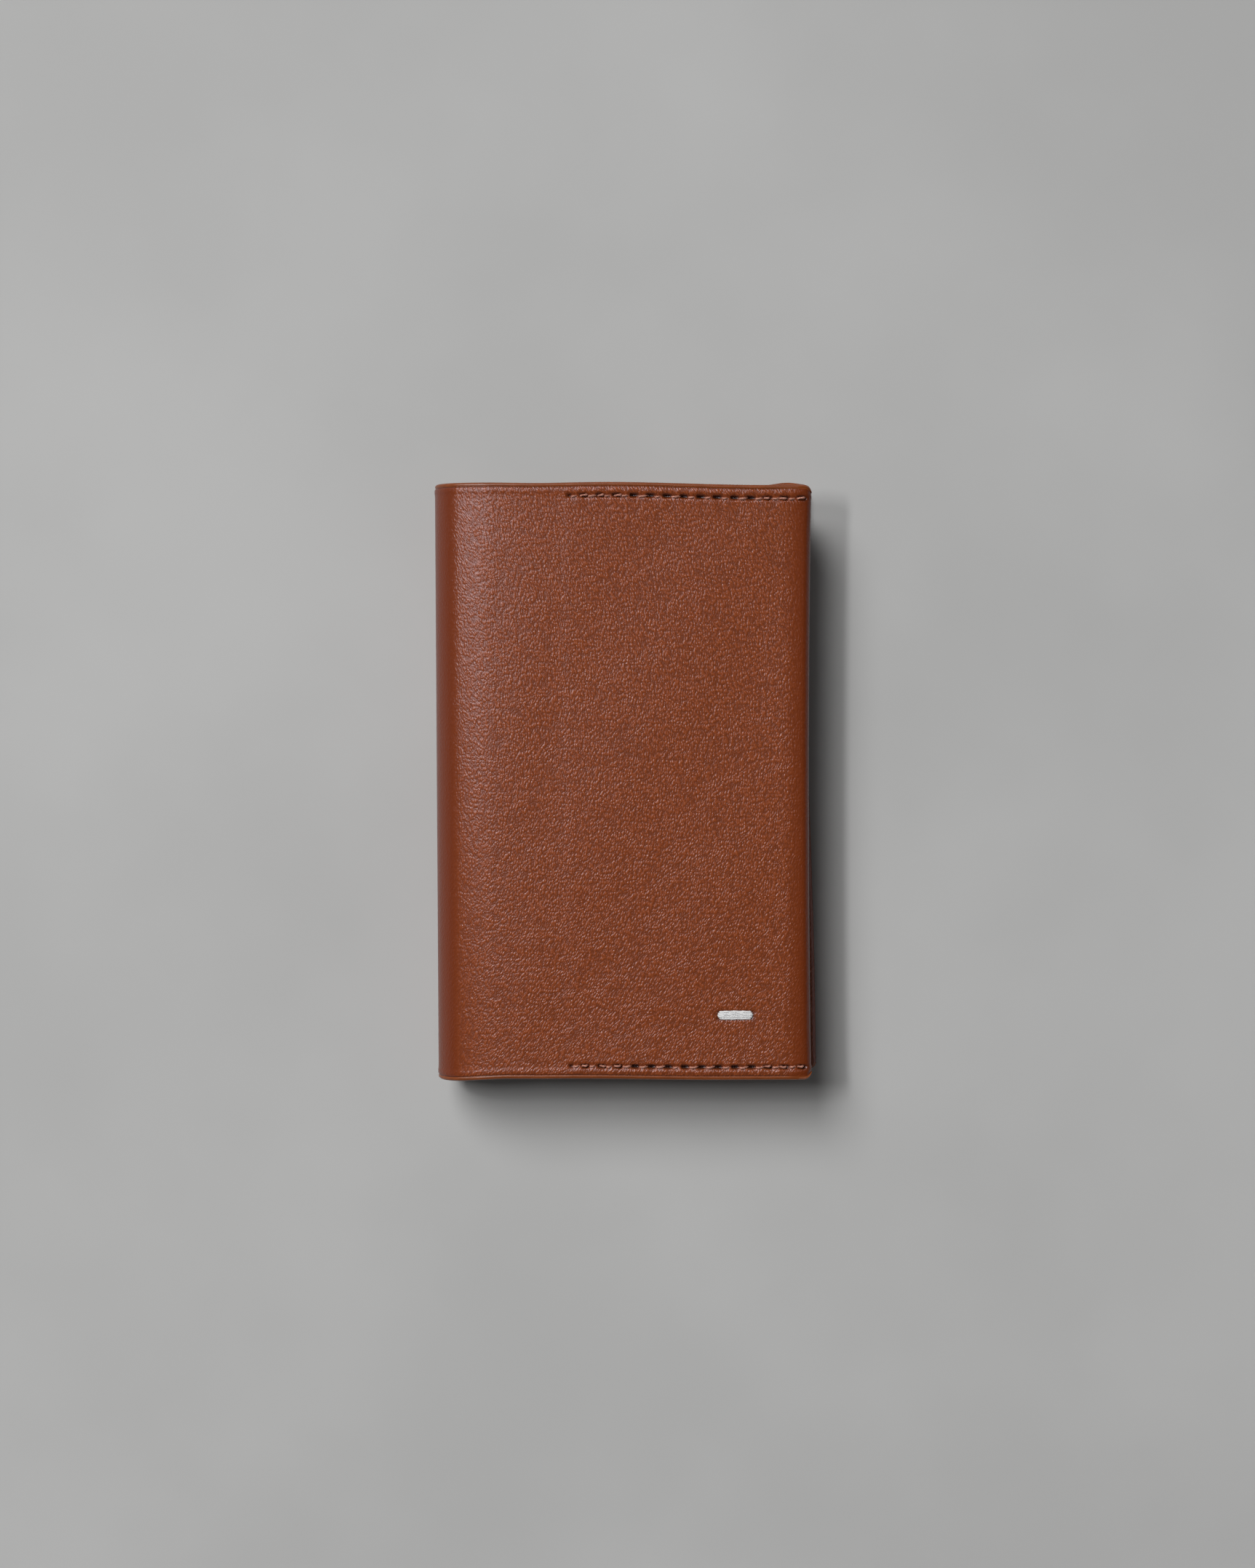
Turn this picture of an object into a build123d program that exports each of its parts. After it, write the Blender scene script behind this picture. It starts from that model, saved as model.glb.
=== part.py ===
from build123d import *

import os
from math import cos, degrees, radians, sin

# Bifold leather wallet, closed round a card case that lifts its cards out in steps.
# All sizes are in millimetres. +Z is up out of the front cover, +Y runs towards the mouth of the card case,
# and +X runs from the spine to the opening edge. The origin is at the middle of the underside.

# ---------------------------------------------------------------- driving dimensions
WIDTH = 66.0  # spine to the turned edge of the back cover
HEIGHT = 102.0  # along the spine
LEATHER = 1.2
TAPE = 0.3
CASE_DEPTH = 8.6
COVER_GAP = 0.8  # air between the card case and the closed front cover
POCKET_GAP = 0.3
BACK_DEPTH = 2 * LEATHER
FRONT_DEPTH = 2 * LEATHER + POCKET_GAP
THICKNESS = BACK_DEPTH + TAPE + CASE_DEPTH + COVER_GAP + FRONT_DEPTH
CARD_WIDTH, CARDS = 53.98, 6

# ---------------------------------------------------------------- leather covers
SPINE_X = -WIDTH / 2
BACK_EDGE_X = WIDTH / 2
FRONT_EDGE_X = 31.4
MID_Z = THICKNESS / 2
UNDER_Z = THICKNESS - FRONT_DEPTH  # lowest face of the closed front cover
SHOULDER = ((24.0, 72.0, 86.0), (120.0, 86.0, 90.0))  # upper arcs: radius, and how far each end has turned
SHOULDER_RISE = sum(r * (sin(radians(high)) - sin(radians(low))) for r, low, high in SHOULDER)
SPINE_RADIUS = (MID_Z - SHOULDER_RISE) / sin(radians(SHOULDER[0][1]))
UPPER_ARCS = ((SPINE_RADIUS, 0.0, SHOULDER[0][1]), *SHOULDER)
LOWER_RADIUS = MID_Z
UPPER_CUT = 52.0  # turn at which the spine ends and the front cover begins
LOWER_CUT = 225.0  # polar angle at which the back cover ends and the spine begins
FOLD_SLIT = 0.12  # width of the slit at each fold line
FLAP_X = -10.2  # inner edge of each cover's turned-in flap
CORNER_RADIUS = 1.8
SEAM_MARGIN = 3.5  # width of the pocket's glued and sewn margins
LINING, LINING_GAP = 0.4, 0.2

# ---------------------------------------------------------------- sewing
SEAM_INSET = 2.3  # seam line to the cover's end
SEAM_FROM_X, STITCHES, STITCH_PITCH = -9.6, 14, 2.84
THREAD_WIDTH, THREAD_HEIGHT = 0.7, 0.3
STITCH_GAP = 0.34  # bare leather between two stitches
GROOVE_WIDTH, GROOVE_DEPTH = 0.9, 0.35
HOLE_RADIUS, HOLE_SLACK = 0.35, 0.02
MARK_X, MARK_Y, MARK_LENGTH, MARK_WIDTH = 18.2, -39.8, 6.4, 1.5
MARK_STRANDS, STRAND_GAP = 4, 0.02

# ---------------------------------------------------------------- magnetic closure
MAGNET_X, MAGNET_Y, MAGNET_RADIUS, MAGNET_DEPTH = 22.0, 30.0, 4.0, 0.8
MAGNET_SLACK = 0.05
CATCH_RADIUS, CATCH_DEPTH = 4.5, 0.4

# ---------------------------------------------------------------- card case
CASE_X = 0.7
CASE_WIDTH, CASE_CORNER = 59.4, 3.2
CASE_WALL, CASE_SIDE_WALL = 0.9, 1.7
CASE_BOTTOM_Z = BACK_DEPTH + TAPE
CASE_TOP_Z = CASE_BOTTOM_Z + CASE_DEPTH
CASE_MID_Z = CASE_BOTTOM_Z + CASE_DEPTH / 2
BAY_WIDTH, BAY_DEPTH, BAY_CORNER = CASE_WIDTH - 2 * CASE_SIDE_WALL, CASE_DEPTH - 2 * CASE_WALL, 1.6
BAY_BOTTOM_Z, BAY_TOP_Z = CASE_BOTTOM_Z + CASE_WALL, CASE_TOP_Z - CASE_WALL
BASE_Y, BASE_WALL = -46.8, 1.4
MOUTH_Y, BEZEL_WALL, BEZEL_SKIRT = 47.5, 1.2, 2.0
SHELL_FROM_Y, SHELL_TO_Y = BASE_Y + BASE_WALL, MOUTH_Y - BEZEL_WALL
MOUTH_SLACK = 0.55  # round a card, at the mouth
INSERT_SLACK = 0.02  # round what is pushed into the tube
LUG_WIDTH, LUG_TO_Y = 3.4, -40.6
SCREW_RADIUS, SCREW_HEAD_RADIUS, SCREW_HEAD, SCREW_DEPTH = 0.75, 1.3, 0.6, 4.0
SCREW_INSET, SCREW_Y = 1.75, -43.0
RECESS_REACH, RECESS_HALF, RECESS_DEPTH = 0.65, 0.13, 0.3

# ---------------------------------------------------------------- inside the card case
FELT_SIZE, FELT_OFFSET, FELT_Y = (18.0, 8.0, 0.5), 13.0, 38.0
BOW_HALF, BOW_RISE, BOW_GAUGE, BOW_WIDTH, BOW_Y = 20.0, 0.8, 0.2, 12.0, 16.0

# ---------------------------------------------------------------- ejector
PIVOT_X, PIVOT_Y, PIN_RADIUS, RUNNING_CLEARANCE = 20.0, -42.3, 1.0, 0.05
PIN_INSET = 0.3  # below the case's outer face
LEVER_LENGTH, LEVER_STEP, HUB_RADIUS = 43.0, 6.5, 2.85
LEVER_DEPTH, LEVER_TOP_Y, LEVER_UNDER_Y = 6.2, -39.4, -43.1
LEVER_WAIST, LEVER_TIP, LEVER_ROUND = 15.0, 1.8, 0.6  # where the taper begins, depth and rounding of the tip
LAYER_DEPTH = LEVER_DEPTH / CARDS
HUB_LAYERS = 4  # the lever's spring sits above these
LEVER_FROM_Z = CASE_MID_Z - LEVER_DEPTH / 2
HUB_TOP_Z = LEVER_FROM_Z + HUB_LAYERS * LAYER_DEPTH
LAYER_ROOT = 2.2  # the upper layers stop this far from the pivot
WIRE_RADIUS, COIL_RADIUS, COIL_PITCH, COIL_TURNS, COIL_GAP = 0.18, 2.0, 0.48, 3.25, 0.15
ANCHOR_LEG, ANCHOR_RADIUS, LEVER_LEG = 6.2, 0.24, 2.7  # lengths of the straight legs, and the anchor hole
TRIGGER_X, TRIGGER_WIDTH, TRIGGER_DEPTH, TRIGGER_TRAVEL = 6.8, 10.0, 4.6, 4.0
TRIGGER_CORNER, SLIDE_GAP = 1.0, 0.15
FLANGE_FROM_X, FLANGE_TO_X, FLANGE_WALL, STEM_WIDTH = 0.8, 12.9, 1.2, 7.0
GRIP_PITCH, GRIP_WIDTH, GRIP_DEPTH = 2.2, 0.6, 0.35


def outward(turn):
    """Direction out of the upper fold, in X and Z, where it has turned so far from upright."""
    return Vector(-cos(radians(turn)), sin(radians(turn)))


def upper_fold(inset, first, last):
    """Arcs of the upper fold, inset from its outer surface, between two turns, from the spine on."""
    arcs = []
    centre = Vector(SPINE_X + SPINE_RADIUS, MID_Z)
    outer = SPINE_RADIUS
    for radius, low, high in UPPER_ARCS:
        centre = centre + outward(low) * (outer - radius)
        outer = radius
        start, stop = max(first, low), min(last, high)
        if stop > start:
            arcs.append((centre, radius - inset, 180 - start, 180 - stop))
    return arcs


def lower_fold(inset, first, last):
    """The arc of the lower fold, inset from its outer surface, between two polar angles."""
    return [(Vector(SPINE_X + LOWER_RADIUS, LOWER_RADIUS), LOWER_RADIUS - inset, first, last)]


def backwards(arcs):
    """The same arcs, run the other way."""
    return [(centre, radius, last, first) for centre, radius, first, last in reversed(arcs)]


def outline(pieces):
    """A face bounded by points and arcs (centre, radius, from, to), with straight lines between them."""
    edges, ends = [], []
    for piece in pieces:
        if len(piece) == 4:
            centre, radius, first, last = piece
            arc = CenterArc(centre, radius, first, last - first)
            edges.append(arc)
            ends.append((arc @ 0, arc @ 1))
        else:
            ends.append((Vector(*piece), Vector(*piece)))
    for (_, leave), (arrive, _) in zip(ends, ends[1:] + ends[:1]):
        if (arrive - leave).length > 1e-6:
            edges.append(Line(leave, arrive))
    return make_face(edges)


def along_y(face, low, high):
    """A face drawn in X and Z, as a solid from y = low to y = high."""
    return Pos(0, high, 0) * extrude(Plane.XZ * face, amount=high - low)


def whole_height(face):
    """A face drawn in X and Z, as a solid over the wallet's whole height."""
    return along_y(face, -HEIGHT / 2, HEIGHT / 2)


def block(x, y, z):
    """A box between two limits on each axis."""
    centre = [sum(limits) / 2 for limits in (x, y, z)]
    size = [limits[1] - limits[0] for limits in (x, y, z)]
    return Pos(*centre) * Box(*size)


def span(middle, size):
    """The limits of a stretch of that size round its middle."""
    return (middle - size / 2, middle + size / 2)


def post(x, y, radius, low, high):
    """An upright cylinder between two heights."""
    return Pos(x, y, (low + high) / 2) * Cylinder(radius, high - low)


def rod(start, direction, radius, length):
    """A cylinder from a point along a direction."""
    return extrude(Plane(start, z_dir=direction) * Circle(radius), amount=length)


def rounded_plan(edge_x):
    """The upright prism that rounds a cover's two outer corners, as seen from above."""
    length = 1.5 * (edge_x - SPINE_X)
    sheet = Pos(edge_x - length / 2, 0) * RectangleRounded(length, HEIGHT, CORNER_RADIUS)
    return extrude(sheet, amount=THICKNESS)


def slit(radius):
    """Half of a fold's slit, in degrees, on an arc of that radius."""
    return degrees(FOLD_SLIT / 2 / radius)


# ---------------------------------------------------------------- covers
def stitch_holes():
    """The x of every needle hole of a seam."""
    return [SEAM_FROM_X + STITCH_PITCH * i for i in range(STITCHES + 1)]


def seam_room(end, low, high):
    """What a seam at one end, +1 or -1, takes out of the leather: two grooves and the needle holes."""
    y = end * (HEIGHT / 2 - SEAM_INSET)
    holes = stitch_holes()
    x = (holes[0] - GROOVE_WIDTH / 2, holes[-1] + GROOVE_WIDTH / 2)
    room = block(x, span(y, GROOVE_WIDTH), (high - GROOVE_DEPTH, high))
    room += block(x, span(y, GROOVE_WIDTH), (low, low + GROOVE_DEPTH))
    return room + [post(hole, y, HOLE_RADIUS, low, high) for hole in holes]


def back_cover():
    """Leather under the card case. Its opening edge is turned in and glued down as a wide flap."""
    edge = BACK_EDGE_X - LEATHER
    cut = LOWER_CUT + slit(LOWER_RADIUS)
    section = outline(
        [
            (edge, 0),
            *backwards(lower_fold(0, cut, 270)),
            *lower_fold(LEATHER, cut, 270),
            (FLAP_X, LEATHER),
            (FLAP_X, BACK_DEPTH),
            (Vector(edge, LEATHER), LEATHER, 90, -90),
        ]
    )
    cover = whole_height(section) & rounded_plan(BACK_EDGE_X)
    return cover - [seam_room(end, 0, BACK_DEPTH) for end in (1, -1)]


def front_cover():
    """Leather over the card case, folded at the opening edge into an inside pocket."""
    turn = FRONT_DEPTH / 2
    fold = Vector(FRONT_EDGE_X - turn, THICKNESS - turn)
    cut = UPPER_CUT + slit(SPINE_RADIUS)
    section = outline(
        [
            *upper_fold(0, cut, 90),
            (fold, turn, 90, -90),
            (FLAP_X, UNDER_Z),
            (FLAP_X, UNDER_Z + LEATHER),
            (fold, POCKET_GAP / 2, -90, 90),
            *backwards(upper_fold(LEATHER, cut, 90)),
        ]
    )
    cover = whole_height(section)
    pocket_x = (FLAP_X, FRONT_EDGE_X - LEATHER)
    pocket_z = (UNDER_Z + LEATHER, THICKNESS - LEATHER)
    for end in (1, -1):
        margin = span(end * (HEIGHT - SEAM_MARGIN) / 2, SEAM_MARGIN)
        cover += block(pocket_x, margin, pocket_z)
    cover &= rounded_plan(FRONT_EDGE_X)
    cover -= [seam_room(end, UNDER_Z, THICKNESS) for end in (1, -1)]
    cover -= block(
        span(MARK_X, MARK_LENGTH),
        span(MARK_Y, MARK_WIDTH),
        (THICKNESS - THREAD_HEIGHT, THICKNESS),
    )
    seat_z = THICKNESS - LEATHER - MAGNET_DEPTH - MAGNET_SLACK
    seat_radius = MAGNET_RADIUS + MAGNET_SLACK
    return cover - [post(MAGNET_X, s * MAGNET_Y, seat_radius, seat_z, pocket_z[1]) for s in (1, -1)]


def spine_strip(outside, inside):
    """The stretch of a layer that lies on the spine, between two insets from the outer surface."""
    low = LOWER_CUT - slit(LOWER_RADIUS)
    high = UPPER_CUT - slit(SPINE_RADIUS)
    section = outline(
        [
            *backwards(lower_fold(outside, 180, low)),
            *upper_fold(outside, 0, high),
            *backwards(upper_fold(inside, 0, high)),
            *lower_fold(inside, 180, low),
        ]
    )
    return whole_height(section)


def spine_cover():
    """Leather round the spine."""
    return spine_strip(0, LEATHER)


def spine_lining():
    """Suede lining inside the spine."""
    return spine_strip(LEATHER, LEATHER + LINING)


def back_lining():
    """Suede lining of the back cover, from the fold line to the flap."""
    cut = LOWER_CUT + slit(LOWER_RADIUS)
    stop = FLAP_X - LINING_GAP
    section = outline(
        [
            (stop, LEATHER),
            *backwards(lower_fold(LEATHER, cut, 270)),
            *lower_fold(LEATHER + LINING, cut, 270),
            (stop, LEATHER + LINING),
        ]
    )
    return whole_height(section)


def front_lining():
    """Suede lining of the front cover, from the fold line to the pocket's mouth."""
    cut = UPPER_CUT + slit(SPINE_RADIUS)
    stop = FLAP_X - LINING_GAP
    section = outline(
        [
            *upper_fold(LEATHER, cut, 90),
            (stop, THICKNESS - LEATHER),
            (stop, THICKNESS - LEATHER - LINING),
            *backwards(upper_fold(LEATHER + LINING, cut, 90)),
        ]
    )
    return whole_height(section)


# ---------------------------------------------------------------- thread
def seam_thread(end, low, high):
    """A sewn seam at one end, +1 or -1: a row of stitches on each face, joined through the holes."""
    y = end * (HEIGHT / 2 - SEAM_INSET)
    upper, lower = high - GROOVE_DEPTH, low + GROOVE_DEPTH
    dash = extrude(SlotOverall(STITCH_PITCH - STITCH_GAP, THREAD_WIDTH), amount=THREAD_HEIGHT)
    radius = HOLE_RADIUS - HOLE_SLACK
    reach = THREAD_HEIGHT / 2
    thread = [post(hole, y, radius, lower - reach, upper + reach) for hole in stitch_holes()]
    for hole in stitch_holes()[:-1]:
        middle = hole + STITCH_PITCH / 2
        thread.append(Pos(middle, y, upper) * dash)
        thread.append(Pos(middle, y, lower - THREAD_HEIGHT) * dash)
    return thread[0] + thread[1:]


def thread_mark():
    """A short plain bar of white stitches, side by side in the front cover."""
    width = MARK_WIDTH / MARK_STRANDS
    strand = SlotOverall(MARK_LENGTH - width / 2, width - STRAND_GAP)
    low = THICKNESS - THREAD_HEIGHT
    first = MARK_Y - MARK_WIDTH / 2 + width / 2
    places = [Pos(MARK_X, first + width * i, low) for i in range(MARK_STRANDS)]
    return [place * extrude(strand, amount=THREAD_HEIGHT) for place in places]


# ---------------------------------------------------------------- closure
def closure_magnets():
    """Two thin disc magnets at the closed end of the front pocket."""
    top = THICKNESS - LEATHER - MAGNET_SLACK / 2
    return [post(MAGNET_X, s * MAGNET_Y, MAGNET_RADIUS, top - MAGNET_DEPTH, top) for s in (1, -1)]


def catch_plates():
    """Two steel discs let into the card case, under the magnets."""
    low = CASE_TOP_Z - CATCH_DEPTH
    return [post(MAGNET_X, s * MAGNET_Y, CATCH_RADIUS, low, CASE_TOP_Z) for s in (1, -1)]


# ---------------------------------------------------------------- card case
def case_outside():
    """Outer section of the card case, in X and Z."""
    return Pos(CASE_X, CASE_MID_Z) * RectangleRounded(CASE_WIDTH, CASE_DEPTH, CASE_CORNER)


def case_inside(slack):
    """Inner section of the card case, in X and Z, smaller by a slack all round."""
    size = (BAY_WIDTH - 2 * slack, BAY_DEPTH - 2 * slack)
    return Pos(CASE_X, CASE_MID_Z) * RectangleRounded(*size, BAY_CORNER)


def screw_places():
    """Where the two case screws stand, as (x, y)."""
    reach = BAY_WIDTH / 2 - SCREW_INSET
    return [(CASE_X + side * reach, SCREW_Y) for side in (-1, 1)]


def whole_screw(x, y):
    """A countersunk screw without its recess, as it sits in the case's top wall."""
    neck = CASE_TOP_Z - SCREW_HEAD
    head = Pos(x, y, neck + SCREW_HEAD / 2) * Cone(SCREW_RADIUS, SCREW_HEAD_RADIUS, SCREW_HEAD)
    return head + post(x, y, SCREW_RADIUS, BAY_TOP_Z - SCREW_DEPTH, neck)


def case_shell():
    """Aluminium tube, open at both ends."""
    tube = along_y(case_outside(), SHELL_FROM_Y, SHELL_TO_Y)
    tube -= along_y(case_inside(0), SHELL_FROM_Y, SHELL_TO_Y)
    tube -= catch_plates()
    tube -= [whole_screw(x, y) for x, y in screw_places()]
    return tube - lever_pin()


def mouth_bezel():
    """Moulded frame round the mouth, with a skirt inside the tube."""
    frame = along_y(case_outside(), SHELL_TO_Y, MOUTH_Y)
    frame = fillet(frame.faces().sort_by(Axis.Y)[-1].edges(), 0.5)
    frame += along_y(case_inside(INSERT_SLACK), SHELL_TO_Y - BEZEL_SKIRT, SHELL_TO_Y)
    mouth = RectangleRounded(CARD_WIDTH + 2 * MOUTH_SLACK, BAY_DEPTH - 2 * MOUTH_SLACK, 1.2)
    return frame - along_y(Pos(CASE_X, CASE_MID_Z) * mouth, SHELL_TO_Y - BEZEL_SKIRT, MOUTH_Y)


def base_cap():
    """Moulded cap that closes the tube, with a screwed lug at each side and a slot for the trigger."""
    cap = along_y(case_outside(), BASE_Y, SHELL_FROM_Y)
    cap = fillet(cap.faces().sort_by(Axis.Y)[0].edges(), 0.6)
    lugs = along_y(case_inside(INSERT_SLACK), SHELL_FROM_Y, LUG_TO_Y)
    clear_x = span(CASE_X, BAY_WIDTH - 2 * LUG_WIDTH)
    lugs -= block(clear_x, (SHELL_FROM_Y, LUG_TO_Y), (CASE_BOTTOM_Z, CASE_TOP_Z))
    cap += lugs
    slot = RectangleRounded(
        TRIGGER_WIDTH + 2 * SLIDE_GAP,
        TRIGGER_DEPTH + 2 * SLIDE_GAP,
        TRIGGER_CORNER + SLIDE_GAP,
    )
    cap -= along_y(Pos(TRIGGER_X, CASE_MID_Z) * slot, BASE_Y, SHELL_FROM_Y)
    cap -= [whole_screw(x, y) for x, y in screw_places()]
    return cap - anchor_leg(ANCHOR_RADIUS)


def case_screws():
    """Two countersunk screws with a cross recess."""
    recess_z = (CASE_TOP_Z - RECESS_DEPTH, CASE_TOP_Z)
    screws = []
    for x, y in screw_places():
        screw = whole_screw(x, y)
        for reach_x, reach_y in ((RECESS_REACH, RECESS_HALF), (RECESS_HALF, RECESS_REACH)):
            screw -= block(span(x, 2 * reach_x), span(y, 2 * reach_y), recess_z)
        screws.append(screw)
    return screws


def case_tape():
    """Sheet of double-sided tape between the back cover's flap and the card case."""
    flat_x = CASE_X + CASE_WIDTH / 2 - CASE_CORNER
    return block((FLAP_X, flat_x), (SHELL_FROM_Y, SHELL_TO_Y), (BACK_DEPTH, CASE_BOTTOM_Z))


def felt_pads():
    """Two felt strips inside the top wall, near the mouth, that keep the cards from sliding out."""
    width, length, depth = FELT_SIZE
    strip = (BAY_TOP_Z - depth, BAY_TOP_Z)
    places = (CASE_X - FELT_OFFSET, CASE_X + FELT_OFFSET)
    return [block(span(x, width), span(FELT_Y, length), strip) for x in places]


def card_spring():
    """Bowed strip of spring steel on the lower wall, which presses the cards against the felt."""
    gauge = Vector(0, BOW_GAUGE)
    ends = [Vector(BOW_Y - BOW_HALF, BAY_BOTTOM_Z), Vector(BOW_Y + BOW_HALF, BAY_BOTTOM_Z)]
    crown = Vector(BOW_Y, BAY_BOTTOM_Z + BOW_RISE)
    under = ThreePointArc(ends[0], crown, ends[1])
    over = ThreePointArc(ends[1] + gauge, crown + gauge, ends[0] + gauge)
    section = make_face([under, Line(under @ 1, over @ 0), over, Line(over @ 1, under @ 0)])
    return Pos(CASE_X - BOW_WIDTH / 2, 0, 0) * extrude(Plane.YZ * section, amount=BOW_WIDTH)


# ---------------------------------------------------------------- ejector
def lever_pin():
    """Steel pin through both walls of the case, on which the lever turns."""
    return post(PIVOT_X, PIVOT_Y, PIN_RADIUS, CASE_BOTTOM_Z + PIN_INSET, CASE_TOP_Z)


def lever_layer(reach, root):
    """One step of the lever, seen from above: a bar from its root to a tip, thinner past the waist."""
    tip, waist, far_tip = PIVOT_X - reach, PIVOT_X - LEVER_WAIST, PIVOT_X - LEVER_LENGTH
    tip_under = LEVER_TOP_Y - LEVER_TIP
    slope = (LEVER_UNDER_Y - tip_under) / (waist - far_tip)
    corners = [(root, LEVER_UNDER_Y), (root, LEVER_TOP_Y), (tip, LEVER_TOP_Y)]
    corners.append((tip, LEVER_UNDER_Y - slope * max(0, waist - tip)))
    if tip < waist:
        corners.append((waist, LEVER_UNDER_Y))
    layer = make_face(Polyline(*corners, close=True))
    return fillet(layer.vertices().sort_by(Axis.X)[:2], LEVER_ROUND)


def eject_lever():
    """Stepped lever: each layer reaches less far, so each card rises less than the one before."""
    lever = post(PIVOT_X, PIVOT_Y, HUB_RADIUS, LEVER_FROM_Z, HUB_TOP_Z)
    for i in range(CARDS):
        root = PIVOT_X if i < HUB_LAYERS else PIVOT_X - LAYER_ROOT
        layer = lever_layer(LEVER_LENGTH - LEVER_STEP * i, root)
        lever += Pos(0, 0, LEVER_FROM_Z + LAYER_DEPTH * i) * extrude(layer, amount=LAYER_DEPTH)
    bore_radius = PIN_RADIUS + RUNNING_CLEARANCE
    return lever - post(PIVOT_X, PIVOT_Y, bore_radius, LEVER_FROM_Z, HUB_TOP_Z)


def spring_line():
    """Helix of the lever's spring, from its anchored end up to the end that presses the lever."""
    helix = Rot(0, 0, -90) * Helix(COIL_PITCH, COIL_PITCH * COIL_TURNS, COIL_RADIUS, lefthand=True)
    return Pos(PIVOT_X, PIVOT_Y, HUB_TOP_Z + COIL_GAP + WIRE_RADIUS) * helix


def anchor_leg(radius):
    """The leg that runs into the cap's lug, or with a larger radius the hole for it."""
    line = spring_line()
    return rod(line @ 0, -(line % 0), radius, ANCHOR_LEG)


def lever_spring():
    """Torsion spring round the pin: one leg anchored in the cap's lug, the other against the lever."""
    line = spring_line()
    coil = sweep(Plane(line @ 0, z_dir=line % 0) * Circle(WIRE_RADIUS), path=line)
    return coil + anchor_leg(WIRE_RADIUS) + rod(line @ 1, line % 1, WIRE_RADIUS, LEVER_LEG)


def trigger_button():
    """Push button at the foot of the case: a head outside, and a flange and a stem inside."""
    low, flange_y, stem_y = BASE_Y - TRIGGER_TRAVEL, SHELL_FROM_Y + SLIDE_GAP, LEVER_UNDER_Y - SLIDE_GAP
    depth = span(CASE_MID_Z, TRIGGER_DEPTH)
    face = RectangleRounded(TRIGGER_WIDTH, TRIGGER_DEPTH, TRIGGER_CORNER)
    button = along_y(Pos(TRIGGER_X, CASE_MID_Z) * face, low, flange_y)
    button = fillet(button.faces().sort_by(Axis.Y)[0].edges(), 0.7)
    button += block((FLANGE_FROM_X, FLANGE_TO_X), (flange_y, flange_y + FLANGE_WALL), depth)
    right = TRIGGER_X + TRIGGER_WIDTH / 2
    button += block((right - STEM_WIDTH, right), (flange_y, stem_y), depth)
    for i in (-1, 0, 1):
        grip_x = span(TRIGGER_X + GRIP_PITCH * i, GRIP_WIDTH)
        button -= block(grip_x, (low, low + GRIP_DEPTH), (CASE_BOTTOM_Z, CASE_TOP_Z))
    return button


NODES = {
    "back_cover": back_cover,
    "back_lining": back_lining,
    "back_top_stitching": lambda: seam_thread(1, 0, BACK_DEPTH),
    "back_bottom_stitching": lambda: seam_thread(-1, 0, BACK_DEPTH),
    "case_tape": case_tape,
    "case_shell": case_shell,
    "mouth_bezel": mouth_bezel,
    "base_cap": base_cap,
    "case_screws": case_screws,
    "lever_pin": lever_pin,
    "lever_spring": lever_spring,
    "felt_pads": felt_pads,
    "card_spring": card_spring,
    "catch_plates": catch_plates,
    "spine_cover": spine_cover,
    "spine_lining": spine_lining,
    "front_cover": front_cover,
    "front_lining": front_lining,
    "front_top_stitching": lambda: seam_thread(1, UNDER_Z, THICKNESS),
    "front_bottom_stitching": lambda: seam_thread(-1, UNDER_Z, THICKNESS),
    "thread_mark": thread_mark,
    "closure_magnets": closure_magnets,
    "trigger_button": trigger_button,
    "eject_lever": eject_lever,
}

os.makedirs("parts", exist_ok=True)
for name, make in NODES.items():
    made = make()
    shape = Compound(children=list(made)) if isinstance(made, list) else made
    export_step(shape, f"parts/{name}.step")
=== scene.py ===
import math

import bpy
import numpy as np
from mathutils import Matrix, Vector


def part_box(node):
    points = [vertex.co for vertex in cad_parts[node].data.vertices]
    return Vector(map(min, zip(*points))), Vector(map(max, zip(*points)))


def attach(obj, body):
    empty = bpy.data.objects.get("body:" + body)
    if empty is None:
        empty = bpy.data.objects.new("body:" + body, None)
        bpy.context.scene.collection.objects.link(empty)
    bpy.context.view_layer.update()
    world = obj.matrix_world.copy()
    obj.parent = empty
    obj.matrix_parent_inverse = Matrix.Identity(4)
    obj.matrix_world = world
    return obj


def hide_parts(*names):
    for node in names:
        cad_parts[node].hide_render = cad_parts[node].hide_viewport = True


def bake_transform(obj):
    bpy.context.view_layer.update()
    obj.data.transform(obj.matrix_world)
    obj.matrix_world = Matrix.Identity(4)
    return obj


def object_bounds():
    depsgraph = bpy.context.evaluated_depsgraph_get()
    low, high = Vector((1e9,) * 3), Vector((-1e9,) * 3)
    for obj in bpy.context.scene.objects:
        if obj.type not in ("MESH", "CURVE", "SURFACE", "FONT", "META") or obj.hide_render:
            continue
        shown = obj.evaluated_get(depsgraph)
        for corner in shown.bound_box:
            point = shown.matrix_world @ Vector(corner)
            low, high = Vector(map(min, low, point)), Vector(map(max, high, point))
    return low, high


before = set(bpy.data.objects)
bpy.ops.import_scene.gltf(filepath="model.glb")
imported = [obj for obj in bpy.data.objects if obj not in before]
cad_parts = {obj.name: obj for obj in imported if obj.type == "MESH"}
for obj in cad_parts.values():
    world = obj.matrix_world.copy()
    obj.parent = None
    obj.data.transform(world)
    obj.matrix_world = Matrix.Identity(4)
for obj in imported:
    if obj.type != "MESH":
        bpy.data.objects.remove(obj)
cad_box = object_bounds()

# Shapes are worked out in millimetres and stored in metres.
MM = 0.001
rng = np.random.default_rng(7)


# ---------------------------------------------------------------- places, from the frame
def corners(node):
    """Lowest and highest corner of a CAD node, in millimetres."""
    return [np.array(corner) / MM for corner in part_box(node)]


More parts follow.
